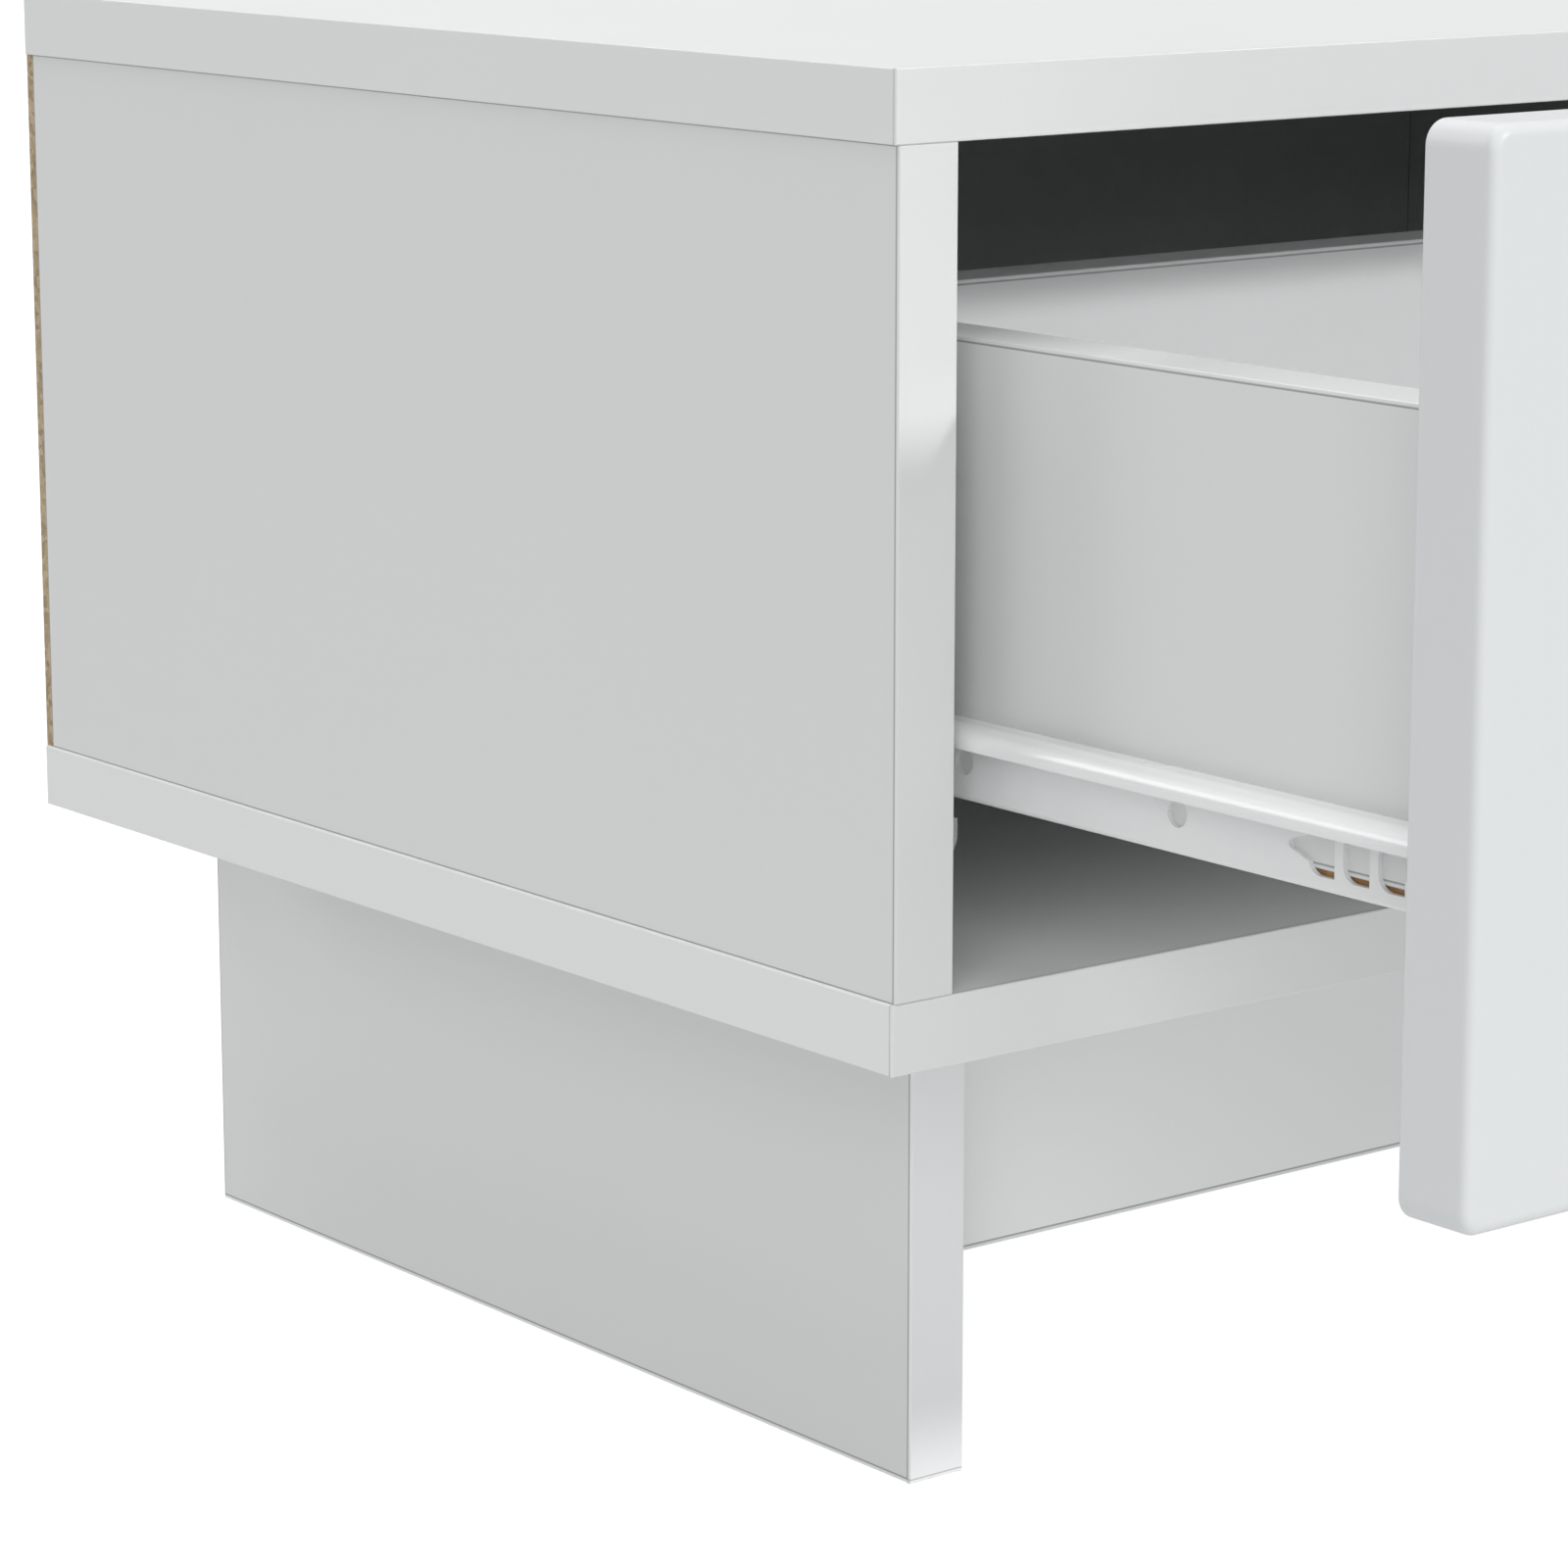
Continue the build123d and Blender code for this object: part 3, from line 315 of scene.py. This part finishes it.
# %% Helpers that start and finish a material
def new_finish(name, **constants):
    """A material with a Principled shader, and the shader's plain values."""
    finish = bpy.data.materials.new(name)
    finish.use_nodes = True
    shader = finish.node_tree.nodes["Principled BSDF"]
    for label, value in constants.items():
        shader.inputs[label.replace("_", " ")].default_value = value
    return finish, finish.node_tree, shader.inputs


def relief(tree, height, depth):
    """A normal from a height, with the depth of the relief in millimetres."""
    bump = add(tree, "Bump", {"Height": height, "Strength": 1.0, "Distance": depth * MM})
    return bump.outputs["Normal"]


def skinned(name, depth, look, **constants):
    """A finish that is the skin group all over, with the depth of its relief in millimetres."""
    finish, tree, ends = new_finish(name, **constants)
    made = use_group(tree, skin, **look)
    plug(tree, made["Colour"], ends["Base Color"])
    plug(tree, made["Roughness"], ends["Roughness"])
    plug(tree, relief(tree, made["Height"], depth), ends["Normal"])
    return finish


# %% Helper that gives a finish to pieces
def dress(finish, *names):
    """Puts a finish in every material slot of some CAD pieces."""
    for name in names:
        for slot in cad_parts[name].material_slots:
            slot.material = finish
    print(finish.name, "->", ", ".join(names))


# %% [markdown]
# ## Melamine boards
#
# Melamine is printed paper soaked in resin and pressed on to the chipboard. On a plain white
# board it is a satin skin with a faint stipple from the press plate. The recipe is a function of
# one board and the axis across it, because the skin is the same on all of them, but each board
# has its own outline, along which its joints show. The case floor, the kick rail and the drawer
# back get a lighter white than the other boards. This is painted light that makes them brighter
# than their lamps alone would.

# %% Whites and axes
MELAMINE_WHITE = (0.795, 0.809, 0.802, 1.0)
MELAMINE_SHADE = (0.783, 0.797, 0.790, 1.0)
# Painted light: this lighter white brightens the case floor beyond the plain melamine white.
BOTTOM_BOARD_PAINTED_LIGHT_WHITE = (0.875, 0.885, 0.885, 1.0)
BOTTOM_BOARD_PAINTED_LIGHT_SHADE = (0.862, 0.872, 0.872, 1.0)
# Painted light: this lighter white brightens the kick rail beyond the plain melamine white.
RAIL_PAINTED_LIGHT_WHITE = (0.91, 0.918, 0.918, 1.0)
RAIL_PAINTED_LIGHT_SHADE = (0.90, 0.908, 0.908, 1.0)
# Painted light: this lighter white brightens the drawer's inner back beyond the plain melamine
# white.
DRAWER_BACK_PAINTED_LIGHT_WHITE = (0.84, 0.842, 0.848, 1.0)
DRAWER_BACK_PAINTED_LIGHT_SHADE = (0.83, 0.832, 0.838, 1.0)
JOINT_SHADE = (0.24, 0.245, 0.245, 1.0)
ALONG = {"x": (1.0, 0.0, 0.0), "y": (0.0, 1.0, 0.0), "z": (0.0, 0.0, 1.0)}
print("melamine:", MELAMINE_WHITE, "to", MELAMINE_SHADE)

# %% The joint line round a board
JOINT_WIDTH = 0.4
PLAIN_JOINT = 0.8
FAINT_JOINT = 0.3


def outline(tree, board, left_out, width, depth):
    """The joint line round a board, with its width in millimetres and its share of darkness."""
    low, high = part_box(board)
    line = use_group(
        tree, joint_line, Low=tuple(low), High=tuple(high), Across=left_out, Width=width * MM,
    )
    return reckon(tree, "MULTIPLY", line["Line"], depth)


# %% Melamine
RAW_ROUGHNESS = 0.9
RAW_RELIEF = 8.0
WHITES = (MELAMINE_WHITE, MELAMINE_SHADE)


def melamine(board, axis_name, whites=WHITES, joint=PLAIN_JOINT):
    """White melamine on a board's two broad faces, raw chipboard on its cut edges."""
    finish, tree, ends = new_finish("melamine_" + board, IOR=1.48)
    white = use_group(
        tree, skin, Colour=whites[0], Shade=whites[1], Stipple_Size=1500.0,
        Gloss_Low=0.44, Gloss_High=0.49,
    )
    line = outline(tree, board, ALONG[axis_name], JOINT_WIDTH, joint)
    lined = blend_colours(tree, line, white["Colour"], JOINT_SHADE)
    raw = use_group(tree, chip_core)
    broad = use_group(tree, broad_faces, Across=ALONG[axis_name])["Broad"]
    plug(tree, blend_colours(tree, broad, raw["Colour"], lined), ends["Base Color"])
    roughness = spread(tree, broad, 0.0, 1.0, RAW_ROUGHNESS, white["Roughness"])
    plug(tree, roughness, ends["Roughness"])
    raw_height = reckon(tree, "MULTIPLY", raw["Height"], RAW_RELIEF)
    height = spread(tree, broad, 0.0, 1.0, raw_height, white["Height"])
    plug(tree, relief(tree, height, 0.012), ends["Normal"])
    dress(finish, board)


# %% Dress the boards
for board in ("left_side_panel", "right_side_panel", "left_leg_panel", "right_leg_panel",
              "drawer_left_side", "drawer_right_side"):
    melamine(board, "x")
melamine("top_panel", "z", joint=FAINT_JOINT)
# The bottom board, the kick rail and the drawer back take lighter whites, which are painted light.
melamine("bottom_panel", "z", (BOTTOM_BOARD_PAINTED_LIGHT_WHITE, BOTTOM_BOARD_PAINTED_LIGHT_SHADE), FAINT_JOINT)
melamine("kick_rail", "y", (RAIL_PAINTED_LIGHT_WHITE, RAIL_PAINTED_LIGHT_SHADE))
melamine("drawer_back", "y", (DRAWER_BACK_PAINTED_LIGHT_WHITE, DRAWER_BACK_PAINTED_LIGHT_SHADE))

# %% [markdown]
# ## Edge strips
#
# The strips are thin ABS plastic, drawn out of a die and glued round the boards. They are a touch
# whiter than the melamine, and the die leaves the finest lines in them. On the top and the bottom
# board, the front strip covers the ends of the side strips, and the side strips stop just short
# of the back corner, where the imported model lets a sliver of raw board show.

# %% Edge strips
STRIP_JOINT_WIDTH = 0.25
STRIP_JOINT = 0.5
STRIP_WHITE = (0.835, 0.852, 0.847, 1.0)
STRIP_SHADE = (0.824, 0.841, 0.836, 1.0)
# Painted light: the bottom board's strips and the leg strips get lighter whites to brighten those
# edges.
BOTTOM_STRIP_PAINTED_LIGHT_WHITE = (0.870, 0.884, 0.880, 1.0)
BOTTOM_STRIP_PAINTED_LIGHT_SHADE = (0.859, 0.873, 0.869, 1.0)
# Painted light: this lighter white brightens the leg fronts beyond the plain strip white.
LEG_STRIP_PAINTED_LIGHT_WHITE = (0.92, 0.925, 0.93, 1.0)
LEG_STRIP_PAINTED_LIGHT_SHADE = (0.91, 0.915, 0.92, 1.0)
ALL_BUT_Y = (1.0, 0.0, 1.0)


def edge_strips(strips, board, left_out, white_colour=STRIP_WHITE, shade=STRIP_SHADE):
    """Plastic strips glued round one board, or round a pair of the same board."""
    finish, tree, ends = new_finish(strips, IOR=1.5)
    white = use_group(
        tree, skin, Colour=white_colour, Shade=shade,
        Stretch=(0.15, 0.15, 1.0), Stipple_Size=2600.0, Cloud_Size=9.0,
        Gloss_Low=0.36, Gloss_High=0.40,
    )
    line = outline(tree, board, left_out, STRIP_JOINT_WIDTH, STRIP_JOINT)
    plug(tree, blend_colours(tree, line, white["Colour"], JOINT_SHADE), ends["Base Color"])
    plug(tree, white["Roughness"], ends["Roughness"])
    plug(tree, relief(tree, white["Height"], 0.008), ends["Normal"])
    dress(finish, strips)


# %% Dress the strips
edge_strips("top_panel_edging", "top_panel", ALL_BUT_Y)
# The bottom board's strips and the leg strips take lighter whites, which are painted light.
edge_strips("bottom_panel_edging", "bottom_panel", ALL_BUT_Y, BOTTOM_STRIP_PAINTED_LIGHT_WHITE,
            BOTTOM_STRIP_PAINTED_LIGHT_SHADE)
edge_strips("side_panel_edging", "left_side_panel", ALONG["x"])
edge_strips("leg_panel_edging", "left_leg_panel", ALONG["x"], LEG_STRIP_PAINTED_LIGHT_WHITE, LEG_STRIP_PAINTED_LIGHT_SHADE)
edge_strips("kick_rail_edging", "kick_rail", ALONG["y"])
edge_strips("drawer_side_edging", "drawer_left_side", ALONG["x"])
edge_strips("drawer_back_edging", "drawer_back", ALONG["y"])

# %% [markdown]
# ## The wrapped drawer front
#
# The front is MDF with a white foil drawn over its rounded face and edges in a vacuum press. The
# foil is smoother than melamine, with a slow unevenness of the glue below it.

# %% Wrapped front
foil = dict(
    Colour=(0.765, 0.788, 0.794, 1.0), Shade=(0.755, 0.778, 0.785, 1.0),
    Stipple_Size=900.0, Cloud_Size=7.0, Gloss_Low=0.37, Gloss_High=0.41,
)
dress(skinned("wrapped_front", 0.008, foil, IOR=1.5), "drawer_front")

# %% [markdown]
# ## Lacquered hardboard
#
# The back sheet is lacquered inside, in a grey darker than the boards' white that paints part
# of the shade inside the case, and it is left as bare brown fibre outside. The drawer bottom is
# white on both faces. Sawing tears the fibres out in small flakes, so the edges use the chip
# group, with straw colours on the back and a warmer brown on the drawer bottom.

# %% Hardboard
BARE_ROUGHNESS = 0.8
BARE_RELIEF = 2.5
TOWARD_THE_FRONT = (0.0, -1.0, 0.0)


def hardboard(sheet, toward, faces, white_colour, shade, sawn_pale, sawn_dark):
    """Hardboard, white on one face (Signed) or both (Broad) across an axis, brown elsewhere."""
    finish, tree, ends = new_finish("hardboard_" + sheet, IOR=1.45)
    white = use_group(
        tree, skin, Colour=white_colour, Shade=shade, Stipple_Size=1100.0,
        Gloss_Low=0.48, Gloss_High=0.54,
    )
    brown = use_group(tree, pressed_fibre)
    sides = use_group(tree, broad_faces, Across=toward)
    lacquered = sides[faces]
    sawn = use_group(tree, chip_core, Pale=sawn_pale, Dark=sawn_dark, Chip_Size=620.0)
    bare = blend_colours(tree, sides["Broad"], sawn["Colour"], brown["Colour"])
    plug(tree, blend_colours(tree, lacquered, bare, white["Colour"]), ends["Base Color"])
    roughness = spread(tree, lacquered, 0.0, 1.0, BARE_ROUGHNESS, white["Roughness"])
    plug(tree, roughness, ends["Roughness"])
    brown_height = reckon(tree, "MULTIPLY", brown["Height"], BARE_RELIEF)
    height = spread(tree, lacquered, 0.0, 1.0, brown_height, white["Height"])
    plug(tree, relief(tree, height, 0.03), ends["Normal"])
    dress(finish, sheet)


# %% Dress the sheets
# The back's inner face is a grey darker than white: painted shade for the inside of the case.
hardboard(
    "back_panel", TOWARD_THE_FRONT, "Signed",
    white_colour=(0.60, 0.615, 0.61, 1.0), shade=(0.585, 0.60, 0.595, 1.0),
    sawn_pale=(0.66, 0.54, 0.36, 1.0), sawn_dark=(0.24, 0.17, 0.10, 1.0),
)
hardboard(
    "drawer_bottom", ALONG["z"], "Broad",
    white_colour=(0.77, 0.785, 0.78, 1.0), shade=(0.755, 0.77, 0.765, 1.0),
    sawn_pale=(0.56, 0.34, 0.155, 1.0), sawn_dark=(0.34, 0.19, 0.08, 1.0),
)

# %% [markdown]
# ## Powder-coated runners
#
# The runners are rolled steel sheet with a white epoxy powder baked on. The powder flows into a
# glossy skin with a soft orange peel, so it catches the lights more than the boards do.

# %% Runner coat
powder = dict(
    Colour=(0.90, 0.905, 0.91, 1.0), Shade=(0.885, 0.89, 0.895, 1.0),
    Stipple_Size=420.0, Cloud_Size=20.0, Gloss_Low=0.27, Gloss_High=0.30,
)
runner_coat = skinned("runner_coat", 0.012, powder, IOR=1.5, Coat_Weight=0.8, Coat_Roughness=0.18)
dress(runner_coat, "left_cabinet_runner", "right_cabinet_runner", "left_drawer_runner",
      "right_drawer_runner")

# %% [markdown]
# ## Nylon rollers
#
# The rollers are moulded nylon, milky rather than chalky, because light goes a little way in.

# %% Nylon
moulded = dict(
    Colour=(0.84, 0.84, 0.80, 1.0), Shade=(0.80, 0.80, 0.75, 1.0),
    Stipple_Size=700.0, Cloud_Size=60.0, Gloss_Low=0.32, Gloss_High=0.45,
)
nylon = skinned("nylon", 0.01, moulded, IOR=1.53, Subsurface_Weight=0.25, Subsurface_Scale=0.002)
dress(nylon, "left_front_roller", "right_front_roller", "left_rear_roller", "right_rear_roller")

# %% [markdown]
# ## Zinc fittings
#
# Cams, bolts, screws, nails and pins are steel or die-cast zinc with a thin bright plating. It is
# a metal, so its colour is in its reflection. Small crystals and handling leave it patchy.

# %% Zinc
plated = dict(
    Colour=(0.70, 0.71, 0.73, 1.0), Shade=(0.52, 0.53, 0.54, 1.0),
    Stipple_Size=1300.0, Cloud_Size=160.0, Gloss_Low=0.28, Gloss_High=0.5,
)
dress(
    skinned("zinc", 0.02, plated, Metallic=1.0),
    "back_panel_nails", "case_cams", "case_cam_bolts", "leg_cams", "leg_cam_bolts",
    "kick_rail_cams", "kick_rail_cam_bolts", "cabinet_runner_screws", "front_roller_pins",
    "drawer_bottom_nails", "drawer_front_cams", "drawer_front_cam_bolts", "drawer_back_screws",
    "drawer_runner_screws", "rear_roller_pins",
)

# %% [markdown]
# ## Beech dowels
#
# The dowels are beech: pale pinkish brown, with short dark flecks along the grain. The grain
# runs the way a dowel points, so the recipe takes a stretch that is small along the dowel.

# %% Beech
def beech(axis_name, stretch):
    """Beech with its grain along one axis."""
    grain = dict(
        Colour=(0.62, 0.42, 0.26, 1.0), Shade=(0.40, 0.24, 0.13, 1.0),
        Stretch=stretch, Stipple_Size=1600.0, Cloud_Size=90.0, Gloss_Low=0.55, Gloss_High=0.7,
    )
    return skinned("beech_along_" + axis_name, 0.05, grain, IOR=1.45)


dress(beech("z", (1.0, 1.0, 0.06)), "case_dowels", "leg_dowels")
dress(beech("x", (0.06, 1.0, 1.0)), "kick_rail_dowels", "drawer_back_dowels")
dress(beech("y", (1.0, 0.06, 1.0)), "drawer_front_dowels")

# %% [markdown]
# ## The floor
#
# A pale seamless floor, like painted paper, shows where the object stands and throws light up
# under it. It is one square, far larger than the object. A real studio floor is lit by lamps
# that flood all of it, and here a plain glow stands for them. The glow seen by the camera is
# stronger than the glow that lights the object, which keeps the floor as white as the dome.

# %% The floor's sheet
FLOOR_HALF = 6.0
mesh = bpy.data.meshes.new("floor")
sheet_mesh = bmesh.new()
bmesh.ops.create_grid(sheet_mesh, x_segments=4, y_segments=4, size=FLOOR_HALF)
sheet_mesh.to_mesh(mesh)
sheet_mesh.free()
floor = bpy.data.objects.new("floor", mesh)
scene.collection.objects.link(floor)
floor.location.z = cad_low.z
print("floor:", 2 * FLOOR_HALF, "m square")

# %% The floor's paper
FLOOR_GLOW = 0.47
FLOOR_SHOWN = 0.88
paper = dict(
    Colour=(0.26, 0.26, 0.262, 1.0), Shade=(0.25, 0.25, 0.252, 1.0),
    Stipple_Size=900.0, Cloud_Size=1.5, Gloss_Low=0.9, Gloss_High=0.95,
)
finish = skinned("floor_paper", 0.01, paper, Specular_IOR_Level=0.1, Emission_Strength=1.0)
tree = finish.node_tree
seen = add(tree, "LightPath").outputs["Is Camera Ray"]
glow = spread(tree, seen, 0.0, 1.0, FLOOR_GLOW, FLOOR_SHOWN)
plug(tree, glow, tree.nodes["Principled BSDF"].inputs["Emission Color"])
mesh.materials.append(finish)
print("floor glow:", FLOOR_GLOW, "shown:", FLOOR_SHOWN)

# %% [markdown]
# ## The light
#
# White furniture needs light that wraps round it, with just enough direction to part its faces:
# the top is the brightest, then the front, then the sides. Very soft lamps far away give that,
# and the glowing floor fills from below. The dome round it all gives almost no light. It looks
# white to the camera, so that floor and background run into each other, and half as bright in
# reflections, so that satin faces seen at a low angle shine as they do in a white studio.

# %% Dome
DOME_STRENGTH = 0.03
DOME_MIRRORED = 0.5
WHITE = (1.0, 1.0, 1.0, 1.0)
world = bpy.data.worlds.new("studio")
scene.world = world
world.use_nodes = True
tree = world.node_tree
tree.nodes.clear()
path = add(tree, "LightPath")
reflected = spread(tree, path.outputs["Is Glossy Ray"], 0.0, 1.0, DOME_STRENGTH, DOME_MIRRORED)
wrap = add(tree, "Background", {"Color": WHITE, "Strength": reflected})
backdrop = add(tree, "Background", {"Color": WHITE, "Strength": 1.0})
mixer = add(tree, "MixShader")
plug(tree, path.outputs["Is Camera Ray"], mixer.inputs[0])
plug(tree, wrap.outputs[0], mixer.inputs[1])
plug(tree, backdrop.outputs[0], mixer.inputs[2])
plug(tree, mixer.outputs[0], add(tree, "OutputWorld").inputs["Surface"])
print("dome:", DOME_STRENGTH, "mirrored:", DOME_MIRRORED)


# %% Lamps
def soft_lamp(name, heading, height, share, width, mirrored=True):
    """A distant soft lamp. The heading is 0 in front and 90 to the right, in degrees, as height
    and width are. Share is what it adds to a face square to it, as part of full white."""
    lamp = bpy.data.lights.new(name, "SUN")
    lamp.energy = share * math.pi
    lamp.angle = math.radians(width)
    round_about = math.radians(heading)
    up = math.radians(height)
    toward = Vector((
        math.sin(round_about) * math.cos(up), -math.cos(round_about) * math.cos(up), math.sin(up),
    ))
    holder = bpy.data.objects.new(name, lamp)
    holder.rotation_mode = "QUATERNION"
    holder.rotation_quaternion = toward.to_track_quat("Z", "Y")
    holder.visible_glossy = mirrored
    scene.collection.objects.link(holder)
    print("lamp:", name, "share", share, "width", width)


# %% [markdown]
# ## Six lamps
#
# The lamp overhead lights the top, and is kept out of reflections so that the top doesn't burn
# out seen from above. One at the front left lights the side, and a low one the hollows. The key
# is narrow and comes from the front right, so the drawer throws a crisp shadow on the side
# board's edge. A lamp behind fills the top and the back, and a rim lamp draws a bright line
# along the runner's bead.

# %% Set the lamps
soft_lamp("overhead", 0.0, 90.0, 0.57, 60.0, mirrored=False)
soft_lamp("front_left", -45.0, 24.0, 0.305, 36.0)
soft_lamp("front_low", 0.0, 10.0, 0.06, 30.0)
soft_lamp("key", 24.0, 25.0, 0.35, 4.0)
soft_lamp("back_fill", 180.0, 45.0, 0.24, 60.0)
soft_lamp("rim", -142.0, 22.0, 0.10, 20.0)

# %% [markdown]
# ## The camera
#
# The camera faces the body's front left corner from a little above the top board, high enough to
# look into the open drawer. A long lens keeps the uprights nearly parallel. Where it stands is
# measured from the body's front left corner, at the floor, so it follows the model.

# %% Camera
VIEW_HEADING = 38.155
VIEW_DROP = 11.898
STAND_OFF = Vector((-0.68294, -0.83136, 0.41171))
LENS = 118.029
FILM_WIDTH = 36.0
body_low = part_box("top_panel_edging")[0]
corner = Vector((body_low.x, body_low.y, cad_low.z))
heading = math.radians(VIEW_HEADING)
drop = math.radians(VIEW_DROP)
forward = Vector((
    math.sin(heading) * math.cos(drop), math.cos(heading) * math.cos(drop), -math.sin(drop),
))
lens = bpy.data.cameras.new("camera")
lens.sensor_width = FILM_WIDTH
lens.lens = LENS
camera = bpy.data.objects.new("camera", lens)
camera.location = corner + STAND_OFF
camera.rotation_mode = "QUATERNION"
camera.rotation_quaternion = forward.to_track_quat("-Z", "Y")
scene.collection.objects.link(camera)
scene.camera = camera
scene.view_settings.view_transform = "Standard"
print("camera:", [round(a, 4) for a in camera.location])
